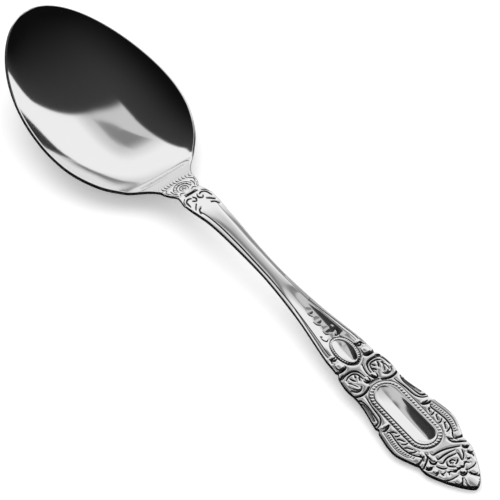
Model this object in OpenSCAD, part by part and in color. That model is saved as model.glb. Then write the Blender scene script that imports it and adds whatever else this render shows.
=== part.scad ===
// Ornate dinner spoon, struck from one blank of stainless steel and lying face up on a table.
// Stations run along the spoon from the bowl's tip. Heights are above the table.
// Each zone of the spoon is a loft of cross-sections, and the relief forms sit on the zones' upper faces.

/* [Bowl] */
// Length of the bowl from its tip to the collar
bowl_l = 68; // [64:0.5:74]
// Width of the bowl across its rim
bowl_w = 44.8; // [36:0.2:52]
// Distance from the tip to the widest place
bowl_widest = 37.5; // [34:0.5:41]
// Depth of the hollow below the rim
bowl_d = 9.4; // [7:0.1:12]
// Thickness of the bowl's wall
bowl_wall = 1.2; // [0.8:0.1:2]
// Angle at which the rim rises from the neck to the tip
rim_tilt = 11.3; // [8:0.1:14]
// Extra lift of the rim at the very tip
tip_lift = 4.6; // [3:0.1:7]

/* [Neck] */
// Length of the collar from the bowl to the waist
collar_l = 8; // [7:0.1:9]
// Width of the collar
collar_w = 11.7; // [10.6:0.1:13]
// Thickness of the collar where it leaves the bowl
collar_t = 2; // [1.6:0.1:2.6]
// Width of the waist between collar and stem
waist_w = 7.9; // [7:0.1:8.6]

/* [Stem] */
// Length of the stem from the waist to the field of drops
stem_l = 52; // [42:0.5:62]
// Width of the head of the stem
head_w = 9.4; // [8.8:0.1:10.4]
// Width of the stem at its narrowest
stem_w = 5.3; // [4.4:0.1:6.6]
// Thickness of the stem
stem_t = 3.3; // [2.6:0.1:4]
// Angle at which the stem falls towards the handle's end
stem_fall = 6.7; // [5:0.1:8]
// Depth of the two grooves along the stem
groove_d = 0.35; // [0.1:0.05:0.6]

/* [Handle] */
// Length of the field of drops and the small cartouche
field_l = 21.4; // [20:0.2:24]
// Width of the field at its lower end
field_w = 12.9; // [12.2:0.1:14]
// Length of the band of two medallions
medallion_l = 9; // [8.6:0.1:10]
// Width of the handle across the medallions
medallion_w = 15.3; // [15:0.1:17]
// Length of the band of scrolled panels
panel_l = 11.2; // [10.6:0.1:13]
// Width of the handle across the panels
panel_w = 18.4; // [17.8:0.1:19.4]
// Length of the band of side lobes
lobe_l = 15.4; // [14.6:0.1:17]
// Width of the handle across the side lobes
lobe_w = 20.7; // [20:0.1:22]
// Length of the band of the palmette
palmette_l = 8.7; // [8.5:0.1:10]
// Width of the handle across the palmette
palmette_w = 14.8; // [14.4:0.1:16]
// Length of the pointed tip
tip_l = 6.3; // [6:0.1:7.5]
// Thickness of the handle plate
plate_t = 2.45; // [2:0.05:3]
// Thickness of the plate at its edge
edge_t = 1.4; // [1:0.05:1.8]
// Depth of the three notches in the outline
notch_d = 0.5; // [0.2:0.05:0.7]

/* [Relief] */
// Height of the scrolls, bars and crescents above the plate
relief_h = 0.6; // [0.3:0.05:0.9]
// Diameter of the beads of the two borders
bead_w = 0.86; // [0.6:0.02:0.9]
// Distance from bead to bead
bead_pitch = 1; // [0.94:0.02:1.3]
// Diameter of the pearls
pearl_w = 1.6; // [1.2:0.1:1.7]
// Width of the long cartouche
long_w = 7.2; // [6.6:0.1:7.6]
// Width of the small oval cartouche
oval_w = 4.8; // [4:0.1:5]
// Depth of the hollow of each cartouche
dish_d = 0.4; // [0.1:0.05:0.5]

/* [Hidden] */
$fn = 32;

// Stations where one band of the spoon ends and the next begins
s_collar = bowl_l;
s_waist = s_collar + collar_l;
s_field = s_waist + stem_l;
s_medallion = s_field + field_l;
s_panel = s_medallion + medallion_l;
s_lobe = s_panel + panel_l;
s_palmette = s_lobe + lobe_l;
s_tip = s_palmette + palmette_l;
overall_l = s_tip + tip_l;

// Side view: the corners of the spine, each rounded over its own reach
heel_reach = 4;
s_heel = s_collar - 5;
crown_reach = 8;
s_crown = s_waist + 4.5;
bend_reach = 10;
s_bend = s_lobe + 0.9;
lift_l = 30;
rim_slope = tan(rim_tilt);
fall_slope = tan(stem_fall);

// Plan view: the blunt ends of the lofts and the rounded joint of bowl and collar
blunt = 0.6;
egg_power = 2.05;
shoulder_reach = 8.5;
egg_back = s_collar - 2.6 - bowl_widest;
notch_reach = 1.1;

// The hollow of the bowl
s_deep = bowl_widest - 1.5;
s_hollow_end = s_heel + 1;
hollow_power = 2.3;

// Cross-sections: the edge's soft corner and the share of the back that is flat
edge_soft = 0.25;
stem_edge_t = 1;
stem_land = 0.15;
plate_land = 0.55;
panel_share = 0.5;
groove_share = 0.6;
rail_share = 0.7;
panel_crown = 0.15;
groove_in = 9;
groove_out = 6;

// Relief: the pads of the cartouches and how far their borders stand off
border_gap = 0.2;
rim_h = 0.75;
steel = [0.78, 0.78, 0.8];
bright_steel = [0.9, 0.9, 0.92];

// A straight run that starts softly: nothing before -reach, the full distance after +reach
function soften(d, reach) = d >= reach ? d : d <= -reach ? 0 : (d + reach) * (d + reach) / (4 * reach);

// A smooth step from 0 at a to 1 at b
function ease(a, b, x) = let (t = min(1, max(0, (x - a) / (b - a)))) t * t * (3 - 2 * t);

function mix(a, b, t) = a + (b - a) * t;

// A smooth curve through knots of [station, value], flat at every peak and valley
function knot_slope(k, i) =
    i == 0 || i == len(k) - 1 ? 0
    : (k[i + 1][1] - k[i][1]) * (k[i][1] - k[i - 1][1]) <= 0 ? 0
    : (k[i + 1][1] - k[i - 1][1]) / (k[i + 1][0] - k[i - 1][0]);
function knot_at(k, s, i = 0) = i >= len(k) - 2 || s < k[i + 1][0] ? i : knot_at(k, s, i + 1);
function through(k, s) =
    let (
        i = knot_at(k, s),
        run = k[i + 1][0] - k[i][0],
        t = min(1, max(0, (s - k[i][0]) / run)),
        t2 = t * t,
        t3 = t2 * t
    )
    (2 * t3 - 3 * t2 + 1) * k[i][1] + (t3 - 2 * t2 + t) * run * knot_slope(k, i)
    + (3 * t2 - 2 * t3) * k[i + 1][1] + (t3 - t2) * run * knot_slope(k, i + 1);

// Depth of the bowl's hollow below the rim along the middle
function hollow(s) =
    s <= s_deep ? bowl_d * (1 - pow(1 - s / s_deep, hollow_power))
    : s >= s_hollow_end ? 0
    : bowl_d * (1 - pow((s - s_deep) / (s_hollow_end - s_deep), 2));

function tip_rise(s) = tip_lift * pow(max(0, 1 - s / lift_l), 2);

// The rim's height at the heel sets the bowl's lowest point on the table
heel_h = max([
    for (s = [6:0.5:s_heel]) hollow(s) + bowl_wall - rim_slope * (s_heel - s) - tip_rise(s)
]);
crown_h = plate_t + fall_slope * (s_bend - s_crown);
neck_slope = (crown_h - heel_h) / (s_crown - s_heel);

// Height of the spoon's upper edge along its length: rim, neck, stem and handle
function spine(s) =
    plate_t + fall_slope * soften(s_bend - s, bend_reach)
    - (neck_slope + fall_slope) * soften(s_crown - s, crown_reach)
    + (neck_slope + rim_slope) * soften(s_heel - s, heel_reach)
    + tip_rise(s);

// Half width of the bowl's egg, without the collar
function egg(s) =
    s < bowl_widest
    ? bowl_w / 2 * pow(max(0, 1 - pow(1 - s / bowl_widest, egg_power)), 1 / egg_power)
    : bowl_w / 2 * sqrt(max(0, 1 - pow((s - bowl_widest) / egg_back, 2)));

// Half width of collar, stem and handle
outline = [
    [s_collar, collar_w / 2],
    [mix(s_collar, s_waist, 0.35), collar_w / 2 - 0.1],
    [mix(s_collar, s_waist, 0.65), mix(waist_w, collar_w, 0.62) / 2],
    [s_waist - 0.3, waist_w / 2],
    [s_waist + 3.8, head_w / 2],
    [s_waist + 14, mix(stem_w, head_w, 0.46) / 2],
    [s_waist + 0.65 * stem_l, stem_w / 2],
    [s_field, mix(stem_w, field_w, 0.3) / 2],
    [s_medallion - 5.4, field_w / 2 - 0.25],
    [s_medallion - 1.4, field_w / 2],
    [s_medallion + 0.56 * medallion_l, medallion_w / 2],
    [s_panel, medallion_w / 2 - 0.3],
    [s_panel + 4, medallion_w / 2 + 0.1],
    [s_lobe - 1.5, panel_w / 2],
    [s_lobe + lobe_l / 2, lobe_w / 2],
    [s_palmette, mix(palmette_w, lobe_w, 0.11) / 2],
    [s_palmette + 3.5, palmette_w / 2],
    [s_tip, palmette_w / 3]
];
function notch(s, at) = abs(s - at) >= notch_reach ? 0 : notch_d * (1 + cos(180 * (s - at) / notch_reach)) / 2;
function tip_half(s) = palmette_w / 3 * pow(max(0, (overall_l - s) / tip_l), 0.72);
function plate_half(s) =
    s >= s_tip ? tip_half(s)
    : through(outline, s) - notch(s, s_medallion) - notch(s, s_lobe) - notch(s, s_palmette);
function half(s) =
    let (neck = plate_half(max(s, s_collar)))
    max(blunt, s < bowl_widest ? egg(s) : s > s_waist ? neck : neck + soften(egg(s) - neck, shoulder_reach));

// Thickness below the upper edge, at the middle and at the sides
s_stem_mid = s_waist + 0.5 * stem_l;
function core(s) =
    s < s_stem_mid ? mix(collar_t, stem_t, ease(s_collar, s_waist + 8, s))
    : mix(stem_t, plate_t, ease(s_stem_mid, s_medallion, s));
function side(s) = mix(stem_edge_t, edge_t, ease(s_field, s_lobe, s));
function back(s, f) =
    let (
        land = mix(stem_land, plate_land, ease(s_field, s_lobe, s)),
        u = max(0, abs(f) - land) / (1 - land)
    )
    side(s) + (core(s) - side(s)) * sqrt(max(0, 1 - u * u));

// The wall of the bowl thickens into the collar
function wall(s, f) = mix(bowl_wall, back(s, f), ease(s_heel - 9, s_collar, s));
function bowl_top(s, f) = -hollow(s) * (1 - pow(abs(f), hollow_power));

// The struck face of the stem: a crowned panel between two grooves and their rails
function fluted(s) =
    ease(s_waist + groove_in - 2, s_waist + groove_in, s)
    * (1 - ease(s_medallion - groove_out - 2, s_medallion - groove_out, s));
function crowned(s) = fluted(s) * (1 - ease(s_field - 8, s_field, s));
function struck(s, f) =
    let (a = abs(f))
    a >= 1 ? -edge_soft
    : a <= panel_share ? panel_crown * crowned(s) * (1 - pow(a / panel_share, 2))
    : a < rail_share ? -groove_d * fluted(s) * (1 - abs(a - groove_share) / (rail_share - groove_share))
    : 0;

// Cross-sections as rings of points, along the face and back along the underside
function at(s, y, z) = [s - overall_l / 2, y, z];
bowl_steps = 22;
function bowl_ring(s) = [
    for (i = [-bowl_steps / 2:bowl_steps / 2]) let (f = 2 * i / bowl_steps)
        at(s, f * half(s), spine(s) + bowl_top(s, f)),
    for (i = [bowl_steps / 2:-1:-bowl_steps / 2]) let (f = 2 * i / bowl_steps)
        at(s, f * half(s), spine(s) + bowl_top(s, f) - wall(s, f))
];
fluted_face = [0.25, 0.5, 0.6, 0.7, 0.85];
plain_face = [0.55, 0.75, 0.9];
function both_sides(list) = concat([for (i = [len(list) - 1:-1:0]) -list[i]], [0], list);
function zone_ring(s, face) =
    let (
        inner = 1 - edge_soft / half(s),
        shares = both_sides(concat([for (f = face) f * inner], [inner, 1]))
    )
    concat(
        [for (f = shares) at(s, f * half(s), spine(s) + struck(s, f))],
        [for (f = shares) at(s, -f * half(s), spine(s) - back(s, f))]
    );

// A closed skin over a row of rings, with flat ends or joined into a loop
module skin(rings, loop = false) {
    n = len(rings[0]);
    m = len(rings);
    sides = [
        for (i = [0:loop ? m - 1 : m - 2]) for (j = [0:n - 1])
            let (
                a = i * n + j,
                b = i * n + (j + 1) % n,
                c = ((i + 1) % m) * n + (j + 1) % n,
                d = ((i + 1) % m) * n + j
            )
            each [[a, b, c], [a, c, d]]
    ];
    first = end_faces(n);
    last = [for (f = first) [for (k = [2:-1:0]) (m - 1) * n + f[k]]];
    polyhedron([for (r = rings) each r], loop ? sides : concat(sides, first, last));
}

// The flat end of a ring: a strip between its face and its underside, or a fan where it has no underside
function end_faces(n) =
    n % 2 == 1
    ? [for (j = [1:n - 2]) [0, j + 1, j]]
    : [for (j = [0:n / 2 - 2]) each [[j, n - 2 - j, j + 1], [j, n - 1 - j, n - 2 - j]]];

function steps(a, b, n) = [for (i = [0:n]) mix(a, b, i / n)];
module zone(a, b, n, face) {
    skin([for (s = steps(a, b, n)) zone_ring(s, face)]);
}

// A rounded ridge on the upper face along a path of [station, offset], wide in its middle by width
ridge_shape = [[-1, 0], [-0.65, 0.75], [0, 1], [0.65, 0.75], [1, 0]];
function heading(path, i, loop) =
    let (
        n = len(path),
        a = loop ? path[(i + n - 1) % n] : path[max(0, i - 1)],
        b = loop ? path[(i + 1) % n] : path[min(n - 1, i + 1)]
    )
    (b - a) / norm(b - a);
function swell(i, n, ends) = mix(ends, 1, pow(sin(180 * i / (n - 1)), 0.6));
function ridge_ring(path, i, width, height, ends, loop) =
    let (
        t = heading(path, i, loop),
        grow = loop ? 1 : swell(i, len(path), ends)
    )
    [for (k = ridge_shape)
        let (p = path[i] + [-t[1], t[0]] * k[0] * width / 2 * grow)
        at(p[0], p[1], spine(p[0]) + k[1] * height * mix(1, grow, 0.6))
    ];
module ridge(path, width, height = relief_h, ends = 0.3, loop = false) {
    skin([for (i = [0:len(path) - 1]) ridge_ring(path, i, width, height, ends, loop)], loop);
}

// A path of n steps on a smooth curve through a few [station, offset] points
function curve(points, n) = [
    for (i = [0:n])
        let (u = (len(points) - 1) * i / n)
        [
            through([for (k = [0:len(points) - 1]) [k, points[k][0]]], u),
            through([for (k = [0:len(points) - 1]) [k, points[k][1]]], u)
        ]
];
function arc(c, r, a, b, n) = [for (t = steps(a, b, n)) c + r * [cos(t), sin(t)]];
function flip(path) = [for (i = [len(path) - 1:-1:0]) [path[i][0], -path[i][1]]];
function sided(path, hand) = hand > 0 ? path : flip(path);

// A shallow dish on the upper face, its rim closed round both ends
dish_face = [0.5, 0.8, 0.93, 1];
dish_rise = [0.25, 0.8, 1, 0];
function dish_ring(s, a, b, half_w, low, high) =
    let (
        ends = pow(abs(2 * (s - a) / (b - a) - 1), 6),
        rise = concat([for (i = [len(dish_rise) - 1:-1:0]) dish_rise[i]], [0], dish_rise),
        face = both_sides(dish_face)
    )
    [for (i = [0:len(face) - 1])
        let (edge = abs(face[i]) == 1)
        at(s, face[i] * half_w, spine(s) + (edge ? 0 : mix(low + (high - low) * rise[i], high, ends)))
    ];

// A half ball seated on the upper face
module dome(s, y, width) {
    tilt = atan((spine(s + 0.1) - spine(s - 0.1)) / 0.2);
    translate(at(s, y, spine(s))) rotate([0, -tilt, 0]) rotate_extrude() intersection() {
        circle(d = width);
        square(width);
    }
}

// The two cartouches in plan and their borders
long_a = s_panel + 0.4;
long_b = s_palmette - 3.9;
oval_a = s_medallion - 9.9;
oval_b = s_medallion - 0.9;
border_off = border_gap + bead_w / 2;
function stadium_half(s, a, b, r) =
    let (d = max(a + r - s, s - (b - r), 0)) max(blunt, sqrt(max(0, r * r - d * d)));
function oval_half(s, a, b, r) =
    let (u = 2 * (s - a) / (b - a) - 1) max(blunt, r * sqrt(max(0, 1 - u * u)));

// Points at equal steps along the stadium that the long border follows
long_r = long_w / 2 + border_off;
long_run = long_b - long_a - long_w;
long_loop = 2 * long_run + 2 * PI * long_r;
long_count = floor(long_loop / bead_pitch);
long_mid_a = [long_a + long_w / 2, 0];
long_mid_b = [long_b - long_w / 2, 0];
function long_point(d) =
    let (turn = PI * long_r)
    d < long_run ? [long_mid_a[0] + d, long_r]
    : d < long_run + turn ? long_mid_b + long_r * [sin((d - long_run) / turn * 180), cos((d - long_run) / turn * 180)]
    : d < 2 * long_run + turn ? [long_mid_b[0] - (d - long_run - turn), -long_r]
    : let (t = (d - 2 * long_run - turn) / turn * 180) long_mid_a - long_r * [sin(t), cos(t)];

// Points at nearly equal steps round the oval border, from a table of its own arc length
oval_mid = (oval_a + oval_b) / 2;
oval_ru = (oval_b - oval_a) / 2 + border_off;
oval_rv = oval_w / 2 + border_off;
oval_loop = PI * (3 * (oval_ru + oval_rv) - sqrt((3 * oval_ru + oval_rv) * (oval_ru + 3 * oval_rv)));
oval_count = floor(oval_loop / bead_pitch);
oval_lean = 360 * (oval_ru - oval_rv) / (oval_ru + oval_rv) / (4 * PI);
function oval_point(i) =
    let (
        q = 360 * i / oval_count,
        t = q + oval_lean * sin(2 * q)
    )
    [oval_mid + oval_ru * cos(t), oval_rv * sin(t)];

module bowl() {
    color(bright_steel) skin([
        for (s = concat([0, 0.5, 1.3, 2.4, 4], steps(6, s_collar, 28))) bowl_ring(s)
    ]);
}

module collar() {
    color(steel) zone(s_collar, s_waist, 8, plain_face);
}

module stem() {
    color(steel) zone(s_waist, s_field, 26, fluted_face);
}

module drop_field() {
    color(steel) zone(s_field, s_medallion, 18, fluted_face);
}

module handle_plate() {
    color(steel) zone(s_medallion, overall_l, 68, plain_face);
}

// Petals in two tiers round a boss, and the bar that closes the collar
module rosette() {
    c = [s_waist - 2.9, 0];
    color(bright_steel) {
        dome(c[0], 0, 1.7);
        ridge(arc(c, 1.6, 100, 260, 8), 0.7);
        ridge(arc(c, 2.8, 90, 270, 10), 0.8);
        ridge([[s_waist - 0.55, -1.9], [s_waist - 0.55, 0], [s_waist - 0.55, 1.9]], 0.7);
        for (hand = [-1, 1]) {
            ridge(sided(curve([c + [-3, 3.9], c + [-0.8, 4.4], c + [1.2, 3.4]], 5), hand), 0.8);
        }
    }
}

// The pair of C-scrolls at the head of the stem
module stem_scrolls() {
    color(bright_steel) for (hand = [-1, 1]) {
        ridge(sided(curve([
            [s_waist + 4.9, 3.9], [s_waist + 2.3, 3.2], [s_waist + 1.8, 1.6], [s_waist + 3.4, 0.8],
            [s_waist + 4, 1.8]
        ], 14), hand), 0.6);
    }
}

module drops() {
    color(bright_steel) for (i = [0:2]) {
        s = s_field + 0.9 + 3.6 * i;
        ridge([[s - 0.9, 0], [s - 0.2, 0], [s + 0.5, 0], [s + 1, 0]], 1.3);
    }
}

module oval_cartouche() {
    color(bright_steel) skin([
        for (t = steps(-90, 90, 16))
            let (s = mix(oval_a, oval_b, (sin(t) + 1) / 2))
            dish_ring(s, oval_a, oval_b, oval_half(s, oval_a, oval_b, oval_w / 2), rim_h - dish_d, rim_h)
    ]);
}

module oval_beads() {
    color(bright_steel) for (i = [0:oval_count - 1]) {
        p = oval_point(i);
        dome(p[0], p[1], bead_w);
    }
}

// Leaf tips on both sides of the small cartouche
module leaf_tips() {
    color(bright_steel) for (hand = [-1, 1]) {
        ridge(sided(curve([
            [s_medallion - 5.4, 3.9], [s_medallion - 4.9, 4.7], [s_medallion - 5.3, 5.5]
        ], 4), hand), 0.8);
        ridge(sided(curve([
            [s_medallion - 1.9, 3.5], [s_medallion - 1.5, 4.6], [s_medallion - 2, 5.6]
        ], 5), hand), 1.5);
    }
}

// A C-scroll medallion: a ring that curls in, a fan of lobes and a leaf pod
module medallion(hand) {
    c = [s_medallion + 0.51 * medallion_l, 0.28 * medallion_w];
    r = 0.4 * medallion_l;
    color(bright_steel) {
        ridge(sided(arc(c, r - 0.45, -50, 250, 22), hand), 0.8);
        for (a = [190, 222, 254, 286]) {
            ridge(sided([for (d = [0.8, 1.3, 1.8, 2.2]) c + d * [cos(a), sin(a)] + [0.5, -0.4]], hand), 0.6);
        }
        ridge(sided(curve([c + [-0.6, 0.9], c + [0.6, 1.5], c + [1.6, 0.8]], 5), hand), 1.3);
    }
}
module left_medallion() {
    medallion(-1);
}
module right_medallion() {
    medallion(1);
}

module long_cartouche() {
    r = long_w / 2;
    turn = [for (t = steps(0, 90, 6)) r * (1 - cos(t))];
    color(bright_steel) skin([
        for (s = concat(
            [for (d = turn) long_a + d],
            [mix(long_a + r, long_b - r, 0.5)],
            [for (i = [len(turn) - 1:-1:0]) long_b - turn[i]]
        ))
            dish_ring(s, long_a, long_b, stadium_half(s, long_a, long_b, r), rim_h - dish_d, rim_h)
    ]);
}

module long_beads() {
    color(bright_steel) for (i = [0:long_count - 1]) {
        p = long_point(long_loop * (i + 0.5) / long_count);
        dome(p[0], p[1], bead_w);
    }
}

// The rolled inner edge of a sunken side panel and the bar at its lower notch
module scroll_edge(hand) {
    inner = long_r + bead_w / 2;
    color(bright_steel) {
        ridge(sided(curve([
            [s_panel + 0.8, inner + 0.9], [s_panel + 5, inner + 1.2], [s_lobe - 2.6, inner + 1.7],
            [s_lobe - 1.3, panel_w / 2 - 1]
        ], 12), hand), 0.8);
        ridge(sided(curve([[s_lobe, inner + 0.8], [s_lobe - 0.2, inner + 2.2], [s_lobe - 0.1, inner + 3.4]], 4),
            hand), 0.9);
    }
}
module left_scroll_edge() {
    scroll_edge(-1);
}
module right_scroll_edge() {
    scroll_edge(1);
}

// The plain crescent along the rim of a side lobe
module crescent(hand) {
    rim = [for (s = steps(s_lobe + 1.3, s_palmette - 1, 14)) [s, plate_half(s) - 1.05]];
    color(bright_steel) ridge(sided(rim, hand), 1.4);
}
module left_crescent() {
    crescent(-1);
}
module right_crescent() {
    crescent(1);
}

// Three S-scrolls and a hook between the crescent and the border of beads
module foliage(hand) {
    inner = long_r + bead_w / 2;
    color(bright_steel) {
        for (i = [0:2]) {
            s = s_lobe + 2.2 + 3.2 * i;
            ridge(sided(curve([
                [s - 0.7, inner + 2], [s, inner + 1.9], [s + 0.9, inner + 0.9], [s + 1.8, inner + 0.8]
            ], 6), hand), 0.8);
        }
        ridge(sided(curve([
            [s_palmette - 3.3, inner + 1.7], [s_palmette - 2.4, inner + 0.6], [s_palmette - 0.9, inner + 1]
        ], 6), hand), 1.1);
    }
}
module left_foliage() {
    foliage(-1);
}
module right_foliage() {
    foliage(1);
}

// Arched bars over a rose, leaf bars at its sides and the rolled border under it
module palmette() {
    c = [s_palmette + 4.3, 0];
    color(bright_steel) {
        ridge(curve([[s_palmette - 0.2, -2.7], [s_palmette - 0.1, -0.4], [s_palmette + 0.8, 2.2],
            [s_palmette + 1.9, 4.4]], 8), 0.8);
        ridge(curve([[s_palmette + 1.1, -2.6], [s_palmette + 0.9, -0.2], [s_palmette + 1.7, 2.9]], 6), 0.8);
        ridge(arc(c, 2, 125, 235, 8), 0.7);
        ridge(arc(c, 1, 0, 315, 8), 0.7, loop = true);
        for (hand = [-1, 1]) {
            ridge(sided(curve([c + [-1.6, 3.5], c + [-0.4, 2.9], c + [0.6, 2.4]], 4), hand), 0.8);
            ridge(sided(curve([
                [s_tip - 2.3, palmette_w / 2 - 1.3], [s_tip - 1.1, palmette_w / 2 - 2.9], [s_tip - 0.8, 1.5]
            ], 8), hand), 0.8);
        }
    }
}

module pearls() {
    color(bright_steel) {
        dome(s_tip - 0.3, 0, pearl_w);
        for (hand = [-1, 1]) {
            dome(s_palmette + 2.1, hand * (palmette_w / 2 - 1.2), pearl_w);
            for (i = [0:2]) {
                dome(s_tip - 2.4 + 0.15 * i, hand * (0.75 + 1.25 * i), 0.7 * pearl_w);
            }
        }
    }
}

// The point of the handle: a long middle lobe between two short ones
module tip_lobes() {
    color(bright_steel) {
        ridge([for (s = steps(s_tip + 1.4, overall_l - 0.6, 6)) [s, 0]], 2.6);
        for (hand = [-1, 1]) {
            ridge(sided(curve([[s_tip + 0.5, 3], [s_tip + 1.6, 2.6], [s_tip + 2.7, 2.3]], 4), hand), 1.5);
        }
    }
}

bowl();
collar();
rosette();
stem();
stem_scrolls();
drop_field();
drops();
oval_cartouche();
oval_beads();
leaf_tips();
handle_plate();
left_medallion();
right_medallion();
long_cartouche();
long_beads();
left_scroll_edge();
right_scroll_edge();
left_crescent();
right_crescent();
left_foliage();
right_foliage();
palmette();
pearls();
tip_lobes();
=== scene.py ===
"""Ornate dinner spoon: polished bowl, fluted stem and struck handle, on a plain studio floor.

Lengths inside the shape functions are millimetres. A station is the distance from the bowl's tip.
"""
import math
from functools import partial

import bpy
import numpy as np
from bpy.props import FloatProperty, FloatVectorProperty, PointerProperty
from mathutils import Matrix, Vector


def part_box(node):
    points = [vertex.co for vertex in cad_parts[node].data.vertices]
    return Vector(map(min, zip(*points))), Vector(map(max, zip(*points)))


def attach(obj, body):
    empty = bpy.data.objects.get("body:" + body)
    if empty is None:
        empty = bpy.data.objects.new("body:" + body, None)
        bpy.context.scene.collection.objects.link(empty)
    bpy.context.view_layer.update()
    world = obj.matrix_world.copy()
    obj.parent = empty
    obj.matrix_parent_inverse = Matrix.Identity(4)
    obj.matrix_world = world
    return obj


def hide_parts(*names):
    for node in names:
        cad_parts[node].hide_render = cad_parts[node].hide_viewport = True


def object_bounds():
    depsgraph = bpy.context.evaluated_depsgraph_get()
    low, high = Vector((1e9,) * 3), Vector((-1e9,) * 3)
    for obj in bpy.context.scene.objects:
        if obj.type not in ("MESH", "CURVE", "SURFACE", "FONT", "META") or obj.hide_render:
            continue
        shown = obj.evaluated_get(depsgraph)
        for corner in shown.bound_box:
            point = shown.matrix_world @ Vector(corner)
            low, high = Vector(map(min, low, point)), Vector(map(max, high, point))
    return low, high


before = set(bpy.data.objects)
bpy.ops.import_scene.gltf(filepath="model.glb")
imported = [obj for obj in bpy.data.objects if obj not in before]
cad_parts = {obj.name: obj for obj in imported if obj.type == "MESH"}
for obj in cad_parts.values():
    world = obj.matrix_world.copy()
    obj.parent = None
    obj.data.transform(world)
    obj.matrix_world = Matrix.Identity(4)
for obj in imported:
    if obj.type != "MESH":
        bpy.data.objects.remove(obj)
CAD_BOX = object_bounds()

bl_info = {
    "name": "Ornate dinner spoon",
    "version": (1, 0, 0),
    "blender": (4, 5, 0),
    "location": "View3D > Sidebar > Spoon",
    "description": "Builds a dinner spoon with a struck handle, and a studio stage for it",
    "category": "Add Mesh",
}

MM = 0.001
RELIEF_SHIFT = 0.3
WELD_DISTANCE = 2e-7
CREASE_ANGLE = math.radians(60)
SENSOR_WIDTH = 36.0
WHITE = (1.0, 1.0, 1.0, 1.0)


def node_start(node):
    """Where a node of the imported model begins, as a distance from the bowl's tip."""
    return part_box(node)[0].x - CAD_BOX[0].x


def length_prop(name, description, default):
    return FloatProperty(name=name, description=description, default=default, unit="LENGTH", precision=5)


def share_prop(name, description, default):
    return FloatProperty(name=name, description=description, default=default,
                         min=0.0, max=1.0, subtype="FACTOR")


def angle_prop(name, description, degrees):
    return FloatProperty(name=name, description=description, default=math.radians(degrees), subtype="ANGLE")


def colour_prop(name, description, default):
    return FloatVectorProperty(name=name, description=description, default=default,
                               min=0.0, max=1.0, subtype="COLOR")


class SpoonSizes(bpy.types.PropertyGroup):
    """Sizes of the spoon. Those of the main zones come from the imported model."""

    length: length_prop("Length", "Whole length of the spoon", CAD_BOX[1].x - CAD_BOX[0].x)
    bowl_width: length_prop("Bowl width", "Width across the bowl's rim", 0.0456)
    bowl_widest: length_prop("Widest place", "Distance from the tip to the widest place", 0.0377)
    bowl_depth: length_prop("Bowl depth", "Depth of the hollow below the rim", 0.0094)
    bowl_wall: length_prop("Bowl wall", "Thickness of the bowl's wall", 0.0012)
    collar_start: length_prop("Collar start", "Where the collar leaves the bowl", node_start("collar"))
    waist: length_prop("Waist", "Where the collar meets the stem", node_start("stem"))
    field_start: length_prop("Field start", "Where the stem opens into the field", node_start("drop_field"))
    plate_start: length_prop("Plate start", "Where the handle plate begins", node_start("handle_plate"))
    collar_width: length_prop("Collar width", "Width of the collar", 0.0117)
    waist_width: length_prop("Waist width", "Width of the waist", 0.0079)
    head_width: length_prop("Head width", "Width of the stem's head", 0.0094)
    stem_width: length_prop("Stem width", "Width of the stem at its narrowest", 0.0056)
    field_width: length_prop("Field width", "Width of the field at its lower end", 0.0133)
    medallion_width: length_prop("Medallion width", "Width across the two medallions", 0.0157)
    panel_width: length_prop("Panel width", "Width across the side panels", 0.0184)
    lobe_width: length_prop("Lobe width", "Width across the side lobes", 0.0213)
    palmette_width: length_prop("Palmette width", "Width across the palmette", 0.0156)
    stem_thickness: length_prop("Stem thickness", "Thickness of the stem", 0.0033)
    plate_thickness: length_prop("Plate thickness", "Thickness of the handle plate", 0.002)
    edge_thickness: length_prop("Edge thickness", "Thickness of the plate at its edge", 0.0012)
    relief_height: length_prop("Relief height", "Height of the struck face above the plate", 0.0001)
    rim_tilt: angle_prop("Rim tilt", "Angle at which the rim rises to the tip", 11.3)
    stem_fall: angle_prop("Stem fall", "Angle at which the stem falls to the handle's end", 6.7)


class SpoonFinish(bpy.types.PropertyGroup):
    """Colours and gloss of the steel, and the colour of the painted shade in its lines."""

    steel: colour_prop("Steel", "Colour of the polished steel", (0.84, 0.84, 0.845))
    # The colour of the painted shade laid into the relief's lines, where real grooves would show shade and
    # dark reflections.
    recess: colour_prop("Recess", "Colour in the deepest lines of the relief", (0.012, 0.012, 0.013))
    gloss: share_prop("Roughness", "Roughness of the polished faces", 0.07)
    dull: share_prop("Recess roughness", "Roughness in the deepest lines", 0.45)


class SpoonStage(bpy.types.PropertyGroup):
    """The floor, the light and the camera."""

    floor: colour_prop("Floor", "Colour of the floor", (0.95, 0.95, 0.95))
    shade: colour_prop("Black card", "Darkness of the cards around the stage", (0.006, 0.006, 0.006))
    grey: colour_prop("Grey card", "Grey of the card behind the spoon", (0.3, 0.3, 0.3))
    sun_power: FloatProperty(name="Soft light", description="Strength of the soft light", default=0.85)
    azimuth: angle_prop("Camera azimuth", "Turn of the camera about the spoon", 51.3)
    elevation: angle_prop("Camera elevation", "Height of the camera above the floor", 49.6)
    distance: length_prop("Camera distance", "Distance of the camera", 1.0132)
    lens: FloatProperty(name="Lens", description="Focal length on a 36 mm sensor, in mm", default=263.43)
    target: FloatVectorProperty(name="Target", description="Point that the camera looks at",
                                default=(0.00323, 0.0, 0.01018), subtype="TRANSLATION")


# Plain curves


def ease(a, b, x):
    """A smooth step from 0 at a to 1 at b."""
    t = np.clip((x - a) / (b - a), 0.0, 1.0)
    return t * t * (3.0 - 2.0 * t)


def mix(a, b, t):
    return a + (b - a) * t


def soften(d, reach):
    """Nothing before -reach, the full distance after reach, and a fillet between."""
    return np.where(d >= reach, d, np.where(d <= -reach, 0.0, (d + reach) ** 2 / (4.0 * reach)))


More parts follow.
